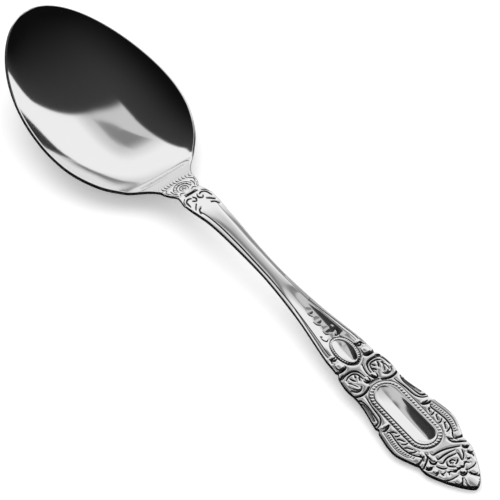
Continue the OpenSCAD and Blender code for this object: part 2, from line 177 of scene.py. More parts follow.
def through(knots, s):
    """A smooth curve through knots of (station, value), flat at every peak and valley."""
    x = np.array([k[0] for k in knots], float)
    v = np.array([k[1] for k in knots], float)
    m = np.zeros(len(x))
    rise = (v[2:] - v[1:-1]) * (v[1:-1] - v[:-2])
    m[1:-1] = np.where(rise <= 0.0, 0.0, (v[2:] - v[:-2]) / (x[2:] - x[:-2]))
    i = np.clip(np.searchsorted(x, s, side="right") - 1, 0, len(x) - 2)
    run = x[i + 1] - x[i]
    t = np.clip((s - x[i]) / run, 0.0, 1.0)
    t2, t3 = t * t, t * t * t
    return ((2 * t3 - 3 * t2 + 1) * v[i] + (t3 - 2 * t2 + t) * run * m[i]
            + (3 * t2 - 2 * t3) * v[i + 1] + (t3 - t2) * run * m[i + 1])


def soft_vee(y, half, slope, round_off):
    """Depth of a V-shaped trough with a round bottom, below its edges at half."""
    return slope * np.maximum(0.0, np.hypot(half, round_off) - np.hypot(y, round_off))


def bend(points, steps=6):
    """Points on a smooth curve through a few (station, offset) points."""
    p = np.array(points, float)
    if len(p) == 2:
        return p
    ends = np.vstack([2 * p[0] - p[1], p, 2 * p[-1] - p[-2]])
    out = []
    for i in range(1, len(ends) - 2):
        a, b, c, d = ends[i - 1:i + 3]
        for t in np.arange(steps) / steps:
            out.append(0.5 * (2 * b + (c - a) * t + (2 * a - 5 * b + 4 * c - d) * t * t
                              + (3 * b - a - 3 * c + d) * t ** 3))
    return np.vstack([out, p[-1]])


def arc(middle, radius, first, last, steps=24):
    """Points on an arc, at 0 degrees towards the handle's end."""
    turn = np.radians(np.linspace(first, last, steps))
    return np.stack([middle[0] + radius * np.cos(turn), middle[1] + radius * np.sin(turn)], 1)


class Spoon:
    """The spoon's outline, spine and sections, from its sizes."""

    tip_lift = 4.35
    lift_length = 30.0
    lift_power = 2.3
    heel_gap = 5.0
    heel_reach = 1.6
    crown_gap = 6.0
    crown_reach = 14.0
    fold_gap = 8.4
    bend_reach = 18.0
    deepest = 36.0
    hollow_past = 1.8
    hollow_power = 2.3
    egg_power = 1.98
    shoulder_end = 71.2
    floor_depth = 7.7
    floor_deepest = 40.0
    collar_core = 2.0
    stem_edge = 1.0
    notch_depth = 0.5
    notch_reach = 1.1
    medallion_length = 9.0
    panel_length = 11.2
    lobe_length = 15.4
    tip_length = 6.3
    tip_share = 0.35
    tip_power = 0.62
    tip_wall = 0.1
    roll_power = 14
    crown_rise = 0.11
    vee_slope = 0.5
    vee_round = 3.0

    def __init__(self, sizes):
        for name in SpoonSizes.__annotations__:
            value = getattr(sizes, name)
            setattr(self, name, value if name in ("rim_tilt", "stem_fall") else value / MM)
        self.panel = self.plate_start + self.medallion_length
        self.lobe = self.panel + self.panel_length
        self.palmette = self.lobe + self.lobe_length
        self.tip = self.length - self.tip_length
        self.heel = self.collar_start - self.heel_gap
        self.crown = self.waist + self.crown_gap
        self.fold = self.lobe + self.fold_gap
        self.hollow_end = self.heel + self.hollow_past
        self.rim_slope = math.tan(self.rim_tilt)
        self.fall_slope = math.tan(self.stem_fall)
        s = np.arange(6.0, self.heel, 0.1)
        lowest = self.hollow(s) + self.bowl_wall - self.rim_slope * (self.heel - s) - self.tip_rise(s)
        self.heel_height = lowest.max()
        crown_height = self.plate_thickness + self.fall_slope * (self.fold - self.crown)
        self.neck_slope = (crown_height - self.heel_height) / (self.crown - self.heel)
        self.outline = self.outline_knots()

    def outline_knots(self):
        """Half widths of collar, stem and handle."""
        return [
            (self.collar_start, self.collar_width / 2),
            (mix(self.collar_start, self.waist, 0.35), self.collar_width / 2 - 0.1),
            (mix(self.collar_start, self.waist, 0.65), mix(self.waist_width, self.collar_width, 0.62) / 2),
            (self.waist - 0.3, self.waist_width / 2),
            (self.waist + 3.8, self.head_width / 2),
            (self.waist + 14.0, mix(self.stem_width, self.head_width, 0.46) / 2),
            (mix(self.waist, self.field_start, 0.65), self.stem_width / 2),
            (self.field_start, mix(self.stem_width, self.field_width, 0.3) / 2),
            (self.plate_start - 5.4, self.field_width / 2 - 0.25),
            (self.plate_start - 1.4, self.field_width / 2),
            (self.plate_start + 0.56 * self.medallion_length, self.medallion_width / 2),
            (self.panel, self.medallion_width / 2 - 0.3),
            (self.panel + 4.0, self.medallion_width / 2 + 0.1),
            (self.lobe - 1.5, self.panel_width / 2),
            (self.lobe + self.lobe_length / 2, self.lobe_width / 2),
            (self.palmette, mix(self.palmette_width, self.lobe_width, 0.11) / 2),
            (self.palmette + 3.5, self.palmette_width / 2),
            (self.tip, float(self.point(self.tip))),
            (self.tip + 2.0, float(self.point(self.tip + 2.0))),
        ]

    def dish(self, s, depth, deepest):
        front = 1.0 - np.abs(1.0 - s / deepest) ** self.hollow_power
        back = 1.0 - ((s - deepest) / (self.hollow_end - deepest)) ** 2
        return depth * np.where(s <= deepest, front, np.where(s >= self.hollow_end, 0.0, back))

    def hollow(self, s):
        """Depth of the bowl's underside below the rim, less the wall."""
        return self.dish(s, self.bowl_depth, self.deepest)

    def inside(self, s):
        """Depth of the hollow that the bowl's reflections show."""
        return self.dish(s, self.floor_depth, self.floor_deepest)

    def tip_rise(self, s):
        return self.tip_lift * np.maximum(0.0, 1.0 - s / self.lift_length) ** self.lift_power

    def spine(self, s):
        """Height of the upper edge along the spoon."""
        return (self.plate_thickness + self.fall_slope * soften(self.fold - s, self.bend_reach)
                - (self.neck_slope + self.fall_slope) * soften(self.crown - s, self.crown_reach)
                + (self.neck_slope + self.rim_slope) * soften(self.heel - s, self.heel_reach)
                + self.tip_rise(s))

    def egg(self, s):
        front = np.maximum(0.0, 1.0 - np.abs(1.0 - s / self.bowl_widest) ** self.egg_power)
        return self.bowl_width / 2 * front ** (1 / self.egg_power)

    def shoulder(self, s):
        """Half width from the bowl's widest place down to the collar."""
        end = self.shoulder_end
        run = end - self.bowl_widest
        shares = ((0.0, 1.0), (0.225, 0.968), (0.4, 0.89), (0.59, 0.737), (0.735, 0.54),
                  (0.82, 0.4), (0.91, 0.296))
        knots = [(self.bowl_widest + t * run, w * self.bowl_width / 2) for t, w in shares]
        return through(knots + [(end, float(self.plate_half(np.array(end))))], s)

    def notch(self, s, place):
        d = np.abs(s - place) / self.notch_reach
        return np.where(d < 1.0, self.notch_depth * (1.0 + np.cos(np.pi * d)) / 2, 0.0)

    def point(self, s):
        """Half width of the handle's pointed tip."""
        share = np.maximum(0.0, (self.length - s) / self.tip_length)
        return self.tip_share * self.palmette_width * share ** self.tip_power

    def plate_half(self, s):
        notches = (self.notch(s, self.plate_start) + self.notch(s, self.lobe)
                   + self.notch(s, self.palmette) / 2)
        return np.where(s >= self.tip, self.point(s), through(self.outline, s) - notches)

    def half(self, s):
        """Half width of the whole spoon."""
        bowl = np.where(s < self.bowl_widest, self.egg(s), self.shoulder(s))
        return np.where(s > self.shoulder_end, self.plate_half(s), bowl)

    def core(self, s):
        middle = (self.waist + self.field_start) / 2
        upper = mix(self.collar_core, self.stem_thickness, ease(self.collar_start, self.waist + 8.0, s))
        lower = mix(self.stem_thickness, self.plate_thickness, ease(middle, self.plate_start, s))
        return np.where(s < middle, upper, lower)

    def side(self, s):
        edge = mix(self.stem_edge, self.edge_thickness, ease(self.field_start, self.lobe, s))
        return edge + self.tip_wall * ease(self.palmette - 5.0, self.tip, s)

    def back(self, s, f):
        """Thickness below the upper edge, at the share f of the half width."""
        land = mix(0.15, 0.55, ease(self.field_start, self.lobe, s))
        u = np.maximum(0.0, np.abs(f) - land) / (1.0 - land)
        return self.side(s) + (self.core(s) - self.side(s)) * np.sqrt(np.maximum(0.0, 1.0 - u * u))

    def wall(self, s, f):
        return mix(self.bowl_wall, self.back(s, f), ease(self.heel - 9.0, self.collar_start, s))

    def groove(self, s):
        """Offset of the two grooves that run down the stem."""
        knots = ((83.0, 2.2), (84.6, 2.95), (86.0, 2.6), (90.0, 2.2), (95.0, 1.95), (102.0, 1.75),
                 (112.0, 1.75), (120.0, 2.1), (125.0, 2.45), (130.0, 2.95), (137.0, 3.75), (143.3, 4.6))
        return through(knots, s)

    def face(self, s, y, half):
        """Height of the struck face above the spine, without its fine relief."""
        f = np.minimum(np.abs(y) / np.maximum(half, 0.01), 1.0)
        bowl = -self.inside(s) * (1.0 - f ** self.hollow_power)
        roll = 1.0 - f ** self.roll_power
        raised = self.relief_height * ease(self.plate_start - 6.0, self.plate_start + 1.0, s) * roll
        groove = self.groove(s)
        q = np.minimum(1.0, np.abs(y) / groove)
        crown = self.crown_rise * ease(80.0, 89.0, s) * (1.0 - ease(110.0, 122.0, s)) * (1.0 - q ** 3)
        opened = ease(117.0, 128.0, s) * (1.0 - ease(137.0, 143.0, s))
        vee = soft_vee(np.minimum(np.abs(y), groove), groove, self.vee_slope, self.vee_round) * opened
        return bowl + raised + crown - vee


class Relief:
    """Fine relief on a grid of stations and offsets: raised forms, cut lines and the painted shade in and
    beside them.
    """

    pillow = 0.5
    shoulder = 0.45
    deepest_dip = 0.3
    cut_reach = 1.2
    floor_share = 0.7
    ridge_taper = 0.4
    ring_place = 1.12

    def __init__(self, s, y):
        self.s = s
        self.y = y
        self.lift = np.zeros_like(s)
        self.sink = np.zeros_like(s)
        self.dip = np.zeros_like(s)
        # Painted shade: how dark the steel's colour turns, standing in for shade and dark reflections in the
        # lines.
        self.ink = np.zeros_like(s)

    def near(self, path, reach):
        """The grid points near a path, their distances to it and how far along it they are."""
        low, high = path.min(0) - reach, path.max(0) + reach
        at = np.nonzero((self.s > low[0]) & (self.s < high[0]) & (self.y > low[1]) & (self.y < high[1]))
        s, y = self.s[at], self.y[at]
        best = np.full(s.shape, 1e9)
        along = np.zeros(s.shape)
        for i in range(len(path) - 1):
            a, step = path[i], path[i + 1] - path[i]
            t = np.clip(((s - a[0]) * step[0] + (y - a[1]) * step[1]) / max(step @ step, 1e-9), 0.0, 1.0)
            d = np.hypot(s - a[0] - t * step[0], y - a[1] - t * step[1])
            closer = d < best
            best = np.where(closer, d, best)
            along = np.where(closer, (i + t) / (len(path) - 1), along)
        return at, best, along

    def cut(self, points, width, depth, ink, taper=0.5):
        """A sunk line with soft shoulders and painted shade along it, thinner at its ends."""
        path = np.asarray(points, float)
        at, d, along = self.near(path, self.cut_reach)
        if not d.size:
            return
        r = width / 2 * mix(taper, 1.0, np.sin(np.pi * along) ** 0.5)
        floor = 1.0 - ease(0.4, 1.2, d / r)
        self.sink[at] = np.maximum(self.sink[at], self.floor_share * depth * floor)
        self.dip[at] += self.pillow * depth * np.exp(-((d / self.shoulder) ** 2))
        self.ink[at] = np.maximum(self.ink[at], ink * (1.0 - ease(0.5, 1.1, d / r)))

    def cut_both(self, points, *style):
        """The same line on both sides of the spoon."""
        path = np.asarray(points, float)
        self.cut(path, *style)
        self.cut(path * (1.0, -1.0), *style)

    def heap(self, at, form):
        """Raises the face to a form, where the form isn't 0."""
        self.lift[at] = np.where(form > 0.0, np.maximum(self.lift[at], form), self.lift[at])

    def hollow_out(self, inside, bed, wall):
        """Clears a cartouche down to its bed and raises a wall round it."""
        self.heap(slice(None), wall)
        self.lift = np.where(inside, bed, self.lift)
        for layer in (self.sink, self.dip, self.ink):
            layer[inside] = 0.0

    def ridge(self, points, width, height):
        """A raised line with a round back."""
        path = np.asarray(points, float)
        at, d, along = self.near(path, width)
        if not d.size:
            return
        r = width / 2 * mix(self.ridge_taper, 1.0, np.sin(np.pi * along) ** 0.5)
        self.heap(at, height * np.sqrt(np.maximum(0.0, 1.0 - (d / r) ** 2)))

    def swell(self, s, y, length, width, height, turn=0.0, outline=0.0, power=0.5):
        """A round or oval boss, with an optional line of painted shade round its foot."""
        a = math.radians(turn)
        reach = max(length, width)
        at = np.nonzero((np.abs(self.s - s) < reach) & (np.abs(self.y - y) < reach))
        if not at[0].size:
            return
        ds, dy = self.s[at] - s, self.y[at] - y
        u = (ds * math.cos(a) + dy * math.sin(a)) * 2 / length
        v = (dy * math.cos(a) - ds * math.sin(a)) * 2 / width
        q = np.hypot(u, v)
        self.heap(at, height * np.maximum(0.0, 1.0 - q * q) ** power)
        if outline:
            gap = np.abs(q - self.ring_place) * min(length, width) / 2
            self.ink[at] = np.maximum(self.ink[at], outline * (1.0 - ease(0.03, 0.14, gap)))

    def height(self):
        return self.lift - self.sink - self.deepest_dip * (1.0 - np.exp(-self.dip / self.deepest_dip))


def strike_lines(relief, lines, mirrored=True, depth=0.22):
    """Cut lines of (points, width, painted shade), on both sides of the spoon or as they are."""
    cut = relief.cut_both if mirrored else relief.cut
    for points, width, ink in lines:
        cut(bend(points), width, depth, ink)


def strike_neck(relief):
    """The fringe, the rosette and the leaves of the collar, and the scrolls at the head of the stem."""
    rose = (73.2, 0.0)
    fan = 1.06
    for y in np.linspace(-5.0, 5.0, 11):
        foot = 69.6 + 0.02 * y * y
        relief.ridge([(foot, y), (foot - 1.5, y * fan)], 0.9, 0.14)
        relief.cut([(foot, y + 0.5), (foot - 1.0, y * fan + 0.53)], 0.3, 0.08, 0.4)
    for radius, spread in ((3.0, 80), (2.1, 100), (1.25, 140)):
        relief.cut(arc(rose, radius, 180 - spread, 180 + spread), 0.36, 0.2, 0.7)
    petal_ring = 2.5
    for i in range(7):
        a = math.radians(90 + 30 * i)
        relief.swell(rose[0] + petal_ring * math.cos(a), petal_ring * math.sin(a), 1.1, 0.75, 0.14,
                     math.degrees(a))
    relief.cut(arc(rose, 0.6, 0, 300), 0.3, 0.15, 0.6)
    relief.swell(rose[0], 0.0, 0.9, 0.9, 0.18)
    strike_lines(relief, (
        ([(70.2, 4.0), (71.4, 4.8), (73.0, 4.2)], 0.36, 0.7),
        ([(70.9, 5.2), (72.2, 5.3), (73.2, 4.9)], 0.36, 0.7),
        ([(71.6, 3.5), (73.0, 3.6), (74.4, 3.0)], 0.36, 0.7),
        ([(73.4, 4.4), (74.4, 3.7), (75.2, 3.3)], 0.36, 0.7),
        ([(75.0, 1.2), (74.6, 2.2), (75.2, 2.8)], 0.36, 0.7),
    ), depth=0.2)
    relief.ridge([(75.95, -2.0), (75.95, 2.0)], 0.6, 0.14)
    relief.cut([(76.65, -2.1), (76.65, 2.1)], 0.5, 0.3, 1.0)
    strike_lines(relief, (
        ([(78.45, 1.4), (78.1, 2.3), (78.8, 3.4), (81.1, 3.75)], 0.55, 0.95),
        ([(78.2, 0.75), (79.3, 0.4), (80.15, 1.1), (79.6, 1.85)], 0.55, 0.95),
        ([(81.2, 1.8), (82.0, 2.6), (83.1, 3.4)], 0.5, 0.95),
        ([(83.3, 1.8), (83.8, 2.7), (85.2, 3.25)], 0.45, 0.95),
        ([(77.3, 2.9), (78.2, 3.9), (79.6, 4.3)], 0.3, 0.95),
    ), depth=0.28)


def strike_stem(relief, spoon):
    """The grooves of the stem, finer lines beside them at the field, and a faint painted shade on the right
    rail.

    The left groove is deeper and has darker painted shade than the right one, as it looks in the studio's
    light.
    """
    s = np.linspace(84.8, 143.2, 90)
    for hand, depth, ink in ((-1, 0.1, 0.95), (1, 0.03, 0.4)):
        relief.cut(np.stack([s, hand * spoon.groove(s)], 1), 0.42, depth, ink, 0.8)
    s = np.linspace(126.0, 143.3, 24)
    beside = spoon.groove(s) + 0.8 * ease(122.0, 140.0, s)
    relief.cut_both(np.stack([s, beside], 1), 0.3, 0.18, 0.3, 0.8)
    # A faint painted shade on the right rail, over a very shallow sink.
    s = np.linspace(116.0, 144.0, 40)
    relief.cut(np.stack([s, mix(spoon.groove(s), spoon.half(s), 0.6)], 1), 1.5, 0.02, 0.12, 0.4)


def strike_field(relief):
    """The row of drops, the hooks beside them and the leaf tips."""
    for s, y, length, width in ((128.2, 0.6, 2.5, 1.6), (131.8, 0.6, 2.6, 1.8), (135.5, 0.7, 2.2, 1.9),
                                (136.0, 2.1, 1.7, 1.4), (136.3, -2.0, 1.6, 1.3)):
        relief.swell(s, y, length, width, 0.07, power=1.0)
    strike_lines(relief, (
        ([(128.7, -0.5), (129.5, -0.35), (130.3, 0.1)], 0.36, 0.9),
        ([(131.8, -0.9), (133.0, -0.6), (133.7, 0.2)], 0.42, 0.95),
        ([(135.6, -0.6), (136.7, -0.5), (137.2, 0.3)], 0.4, 0.9),
        ([(136.6, 0.9), (137.2, 1.7), (136.8, 2.5)], 0.36, 0.8),
    ), mirrored=False, depth=0.05)
    strike_lines(relief, (
        ([(137.3, 2.6), (138.2, 2.4), (138.8, 1.9), (138.5, 1.25)], 0.36, 0.9),
        ([(145.5, 5.6), (144.8, 5.2), (145.4, 4.5), (145.1, 3.6)], 0.4, 0.95),
        ([(148.5, 3.2), (149.05, 3.8), (149.25, 4.9), (149.15, 6.0)], 0.46, 1.0),
        # The V below the oval: a wide cut whose dark is painted shade.
        ([(148.2, 2.4), (149.1, 1.1), (149.5, 0.0)], 0.6, 0.6),
    ))
    for hand in (-1, 1):
        relief.swell(144.1, 4.4 * hand, 1.1, 2.0, 0.2)
        relief.swell(147.6, 4.6 * hand, 2.6, 2.4, 0.26)


def strike_oval(relief):
    """The small oval cartouche with its raised rim and its beads."""
    middle, along, across = 144.3, 4.5, 2.5
    rim, bead_out, line_out = 0.15, 0.45, 0.85
    turn = np.linspace(0.0, 2 * np.pi, 72)
    ring = np.stack([middle + (along + line_out) * np.cos(turn), (across + line_out) * np.sin(turn)], 1)
    relief.cut(ring, 0.26, 0.2, 0.6, 1.0)
    count = 36
    turn = 2 * np.pi * (np.arange(count) + 0.5) / count
    for t in turn + 0.13 * np.sin(2 * turn):
        bead = middle + (along + bead_out) * math.cos(t), (across + bead_out) * math.sin(t)
        relief.swell(*bead, 0.66, 0.64, 0.1, 0, 0.2)
    s, y = relief.s, relief.y
    q = np.hypot((s - middle) / along, y / across)
    wide = across * np.sqrt(np.maximum(0.04, 1.0 - ((s - middle) / along) ** 2))
    # The bed deepens towards the handle's end, where it rises softly to the rim.
    trough = 0.2 + 0.075 * (s - middle + along)
    shut = 1.0 - ease(middle, middle + 2.5, s) * (1.0 - np.clip((1.0 - q) * 3.0, 0.0, 1.0)) ** 2
    bed = rim - trough * shut * np.clip(1.0 - (np.abs(y) / wide) ** 1.7, 0.0, 1.0)
    relief.hollow_out(q < 1.0, bed, rim * (1.0 - ease(1.0, 1.1, q)))


def strike_medallions(relief):
    """Two C-scrolls that curl in at the bottom, each with a fan of petals and a leaf pod."""
    strike_lines(relief, (
        ([(151.2, 6.7), (150.8, 5.3), (150.7, 3.8), (150.95, 2.7), (151.6, 1.8), (152.6, 1.3),
          (153.9, 1.1)], 0.42, 1.0),
        ([(152.2, 6.0), (151.65, 5.1), (151.45, 4.0), (151.6, 3.0), (152.2, 2.35), (153.2, 2.05),
          (154.2, 1.95)], 0.42, 1.0),
        ([(154.7, 0.4), (155.6, 0.6), (156.1, 1.2), (155.9, 1.9), (155.1, 2.2)], 0.46, 1.0),
        ([(152.1, 4.8), (152.9, 4.6), (153.7, 4.1)], 0.5, 1.0),
        ([(152.0, 3.0), (152.9, 3.5)], 0.5, 1.0),
        ([(153.1, 2.2), (153.7, 2.7), (154.2, 3.0)], 0.5, 0.95),
        ([(153.2, 6.0), (154.3, 5.3), (155.6, 4.7)], 0.42, 0.8),
        ([(155.8, 6.9), (156.7, 6.0), (156.85, 4.8), (156.3, 3.9)], 0.28, 0.7),
        ([(157.5, 7.7), (158.1, 6.5), (158.3, 5.0), (158.0, 3.5), (157.35, 2.1)], 0.46, 1.0),
        ([(150.5, 5.9), (151.0, 7.0)], 0.6, 0.9),
    ))
    strike_lines(relief, (
        ([(150.9, 0.75), (151.8, 0.4), (153.2, 0.15), (154.8, 0.2)], 0.36, 0.95),
        ([(151.3, 6.5), (152.6, 7.0), (154.6, 7.2)], 0.4, 0.8),
        ([(153.0, 5.6), (154.4, 6.1), (155.8, 6.1)], 0.34, 0.8),
        ([(156.6, -1.6), (156.5, 0.0), (156.7, 1.6)], 0.9, 0.5),
    ), mirrored=False)
    for hand in (-1, 1):
        relief.swell(154.9, 5.5 * hand, 3.4, 1.7, 0.16, -32 * hand)
        relief.swell(155.0, 1.25 * hand, 1.6, 0.9, 0.2, 15 * hand)


def stadium(first, last, radius, count):
    """Points at equal steps round a long oval with straight sides."""
    run = last - first - 2 * radius
    loop = 2 * run + 2 * np.pi * radius
    out = []
    for d in (np.arange(count) + 0.5) * loop / count:
        if d < run:
            out.append((first + radius + d, radius))
        elif d < run + np.pi * radius:
            t = (d - run) / radius
            out.append((last - radius + radius * math.sin(t), radius * math.cos(t)))
        elif d < 2 * run + np.pi * radius:
            out.append((last - radius - (d - run - np.pi * radius), -radius))
        else:
            t = (d - 2 * run - np.pi * radius) / radius
            out.append((first + radius - radius * math.sin(t), -radius * math.cos(t)))
    return np.array(out)


def strike_cartouche(relief, spoon):
    """The long hollow cartouche, a line of painted shade along its edge, and its border of beads."""
    first, last, radius = spoon.panel + 0.5, spoon.palmette - 3.9, 3.6
    rim, bead_out, line_out = 0.2, 0.8, 1.5
    ring = stadium(first - line_out, last + line_out, radius + line_out, 160)
    relief.cut(np.vstack([ring, ring[:1]]), 0.26, 0.14, 0.35, 1.0)
    for s, y in stadium(first - bead_out, last + bead_out, radius + bead_out, 58):
        relief.swell(s, y, 1.02, 0.98, 0.13, 0, 0.25, 0.7)
    s, y = relief.s, relief.y
    beyond = np.maximum(np.maximum(first + radius - s, s - (last - radius)), 0.0)
    inset = radius - np.hypot(beyond, y)
    wide = np.sqrt(np.maximum(0.04, radius ** 2 - beyond ** 2))
    deep = through([(first - 2.0, 0.0), (first, 0.05), (first + 5.0, 0.45), (first + 10.5, 0.9), (last, 1.15),
                    (last + 3.0, 1.2)], s)
    slope = (np.abs(y) / wide) ** 1.2
    # The upper half is filleted along its sides only, the lower half all round.
    aside = np.where(s < (first + last) / 2, wide - np.abs(y), inset)
    fillet = mix(1.4, 2.0, ease(last - 5.0, last, s))
    soft = 1.0 - (1.0 - np.clip(aside / fillet, 0.0, 1.0)) ** 2
    bed = rim - deep * np.clip(1.0 - slope, 0.0, 1.0) * soft
    # A faint line of painted shade just inside the cartouche's edge.
    edge = 0.25 * (1.0 - ease(0.05, 0.16, np.abs(inset + 0.12)))
    relief.ink = np.maximum(relief.ink, edge)
    relief.hollow_out(inset > 0.0, bed, rim * (1.0 - ease(0.0, 0.3, -inset)))


def strike_sides(relief, spoon):
    """The sunken side panels, the bars at the notches, and the lobes with crescents, teeth and scrolls."""
    strike_lines(relief, (
        ([(159.4, 5.1), (161.0, 5.4), (163.0, 5.75), (165.5, 6.0), (167.0, 6.4), (168.2, 7.4),
          (168.7, 8.7)], 0.44, 1.0),
        ([(159.1, 7.6), (159.7, 6.9), (161.2, 6.6), (164.0, 6.9), (166.6, 7.3), (167.6, 7.8),
          (168.0, 8.8)], 0.46, 0.9),
        # The panels' trough, a wide cut darkened with painted shade.
        ([(160.5, 7.3), (163.0, 7.4), (166.4, 8.2)], 1.2, 0.65),
        ([(170.0, 5.8), (170.35, 6.4), (170.65, 7.3), (170.7, 8.2)], 0.44, 1.0),
        ([(171.2, 7.6), (172.2, 7.15), (174.4, 7.5), (176.6, 7.75), (178.2, 7.7), (180.0, 7.3), (181.4, 6.7),
          (182.5, 5.9), (183.4, 5.5), (184.3, 6.0)], 0.42, 1.0),
        ([(172.2, 6.7), (172.4, 6.2), (173.1, 5.8)], 0.4, 0.95),
        ([(173.7, 6.9), (174.05, 6.2), (174.1, 5.5)], 0.36, 0.95),
        ([(174.8, 7.1), (175.0, 6.6), (175.7, 6.15), (176.4, 5.9)], 0.42, 0.95),
        ([(176.8, 7.0), (177.3, 6.2), (177.3, 5.4)], 0.36, 0.95),
        ([(178.2, 7.2), (178.3, 6.7), (179.0, 6.2), (179.8, 5.7)], 0.42, 0.95),
        ([(180.3, 6.9), (180.65, 6.1), (180.8, 5.3)], 0.36, 0.95),
        ([(184.4, 8.1), (184.3, 7.1), (183.9, 6.1)], 0.4, 1.0),
        ([(183.0, 4.0), (184.2, 4.4), (185.1, 5.5), (185.8, 6.7), (186.3, 7.5)], 0.52, 1.0),
    ))
    # Only the right panel has this darker shade, which stands in for a reflection.
    relief.cut(bend([(160.3, 7.1), (162.5, 7.3), (164.5, 7.8)]), 1.1, 0.02, 0.9)
    for s in np.arange(171.6, 182.4, 0.74):
        rim = float(spoon.half(np.array(s)))
        relief.cut_both([(s, rim - 2.2), (s + 0.05, rim - 1.65)], 0.3, 0.14, 0.7, 0.8)
    # Painted shade just inside the edges of the medallions and the lobes, over a very shallow sink.
    for first, last in ((151.4, 156.0), (170.6, 176.8)):
        s = np.linspace(first, last, 16)
        relief.cut_both(np.stack([s, spoon.half(s) - 0.3], 1), 0.9, 0.02, 0.65, 0.3)
    s = np.linspace(170.9, 181.0, 30)
    relief.cut_both(np.stack([s, spoon.half(s) - 1.2], 1), 0.24, 0.12, 0.5)
    for hand in (-1, 1):
        relief.swell(182.6, 4.9 * hand, 2.2, 1.3, 0.2, 30 * hand)
        relief.swell(169.45, 6.9 * hand, 1.0, 2.6, 0.16)


def strike_palmette(relief):
    """Arched bars over a volute, leaves and beads beside it, the rolled border and the pointed tip."""
    strike_lines(relief, (
        ([(183.8, -2.8), (184.45, -2.5), (184.55, -0.8), (185.0, 1.4), (185.8, 3.4), (186.5, 5.0)], 0.4, 1.0),
        ([(185.6, -2.45), (186.35, -2.4), (186.25, -0.6), (186.3, 1.2), (186.6, 3.1)], 0.42, 1.0),
        ([(187.4, -2.9), (188.05, -2.3), (187.6, -1.1), (187.4, 0.0), (187.55, 1.2), (187.75, 2.6)],
         0.46, 1.0),
        ([(189.4, -0.75), (188.75, -0.5), (188.6, 0.1), (188.85, 0.65), (189.5, 0.8)], 0.4, 1.0),
        ([(188.5, -1.4), (189.4, -1.75), (190.2, -1.3), (191.0, -0.4)], 0.5, 1.0),
        ([(189.4, 1.7), (190.0, 1.2), (190.3, 0.3)], 0.5, 1.0),
        ([(187.6, 3.1), (188.8, 2.9), (189.8, 2.55), (190.4, 2.5)], 0.42, 0.95),
        ([(187.8, 4.6), (188.8, 4.2), (189.7, 3.6), (190.4, 2.8)], 0.42, 1.0),
        ([(187.8, -4.3), (188.6, -4.0), (189.5, -3.4), (189.95, -2.6)], 0.5, 1.0),
        ([(185.2, -4.6), (186.2, -4.8), (186.95, -4.1), (186.7, -3.2)], 0.6, 1.0),
        ([(186.6, -7.1), (187.3, -6.9), (187.7, -6.2), (187.4, -5.3)], 0.44, 1.0),
        ([(187.1, 5.4), (187.75, 5.7), (188.05, 6.3), (187.8, 7.1)], 0.4, 0.95),
        ([(189.4, -5.0), (189.9, -5.6), (190.1, -6.3)], 0.38, 0.9),
        ([(189.2, 5.3), (190.0, 5.6), (190.6, 5.95), (191.3, 5.8)], 0.42, 0.9),
        ([(190.5, -4.9), (191.3, -4.75)], 0.36, 0.9),
        ([(190.85, -4.3), (190.65, -3.6)], 0.36, 0.9),
        ([(191.0, 3.7), (191.3, 4.4)], 0.34, 0.8),
        ([(192.0, -3.4), (191.45, -3.0), (191.45, -2.3), (192.3, -1.5), (192.05, -0.6), (192.2, 0.0),
          (192.05, 0.6), (192.4, 1.3), (191.65, 2.2), (191.6, 2.9), (192.2, 3.4)], 0.42, 1.0),
        ([(193.0, -5.5), (193.45, -4.2), (193.6, -3.0), (193.6, -1.6)], 0.38, 1.0),
        ([(193.6, 1.3), (193.8, 2.3), (193.75, 3.6), (193.4, 4.7)], 0.38, 1.0),
        ([(193.6, -0.95), (194.3, -0.75), (194.6, 0.0), (194.3, 0.8), (193.8, 1.2)], 0.46, 1.0),
        ([(194.9, -1.3), (195.8, -2.0), (196.6, -2.8), (197.3, -3.2)], 0.48, 1.0),
        ([(195.5, -1.0), (196.8, -1.5), (197.9, -2.3)], 0.26, 0.6),
        ([(194.6, 1.2), (195.4, 1.5), (196.3, 2.1), (197.2, 2.6)], 0.48, 1.0),
    ), mirrored=False)
    for s, y, length, width, height in (
        (185.0, -3.65, 2.6, 1.1, 0.2), (186.7, -6.0, 1.5, 1.5, 0.26), (187.05, 6.3, 1.5, 1.5, 0.26),
        (188.9, -5.6, 1.6, 1.3, 0.18), (189.2, 6.3, 1.8, 1.4, 0.18), (189.3, 0.0, 0.9, 0.9, 0.14),
        (191.5, -1.2, 0.9, 0.9, 0.18), (191.5, 0.05, 0.9, 0.9, 0.18), (191.7, 1.35, 0.9, 0.9, 0.18),
        (191.0, -2.8, 0.8, 1.0, 0.16), (191.1, 2.9, 0.8, 1.0, 0.16), (190.5, -4.4, 0.8, 0.9, 0.16),
        (190.8, 4.4, 0.8, 0.9, 0.16), (193.4, 0.05, 1.5, 1.5, 0.36), (197.3, 0.0, 4.6, 3.8, 0.24),
        (195.0, 2.6, 2.6, 2.2, 0.14), (195.0, -2.8, 2.6, 2.2, 0.14),
    ):
        relief.swell(s, y, length, width, height)


def strike(spoon, s, y):
    """The whole struck relief at stations s and offsets y: its height and its painted shade."""
    relief = Relief(s - RELIEF_SHIFT, y)
    strike_neck(relief)
    strike_stem(relief, spoon)
    strike_field(relief)
    strike_oval(relief)
    strike_medallions(relief)
    strike_cartouche(relief, spoon)
    strike_sides(relief, spoon)
    strike_palmette(relief)
    return relief.height(), relief.ink


# Modelling


def stations(first, last, count, tip_first=False, tip_last=False):
    """Stations from first to last, closer together at a tip."""
    t = np.linspace(0.0, 1.0, count)
    if tip_first:
        t = t ** 2 * 0.5 + t ** 1.2 * 0.5
    if tip_last:
        t = 1.0 - ((1.0 - t) ** 2 * 0.35 + (1.0 - t) * 0.65)
    return first + (last - first) * t


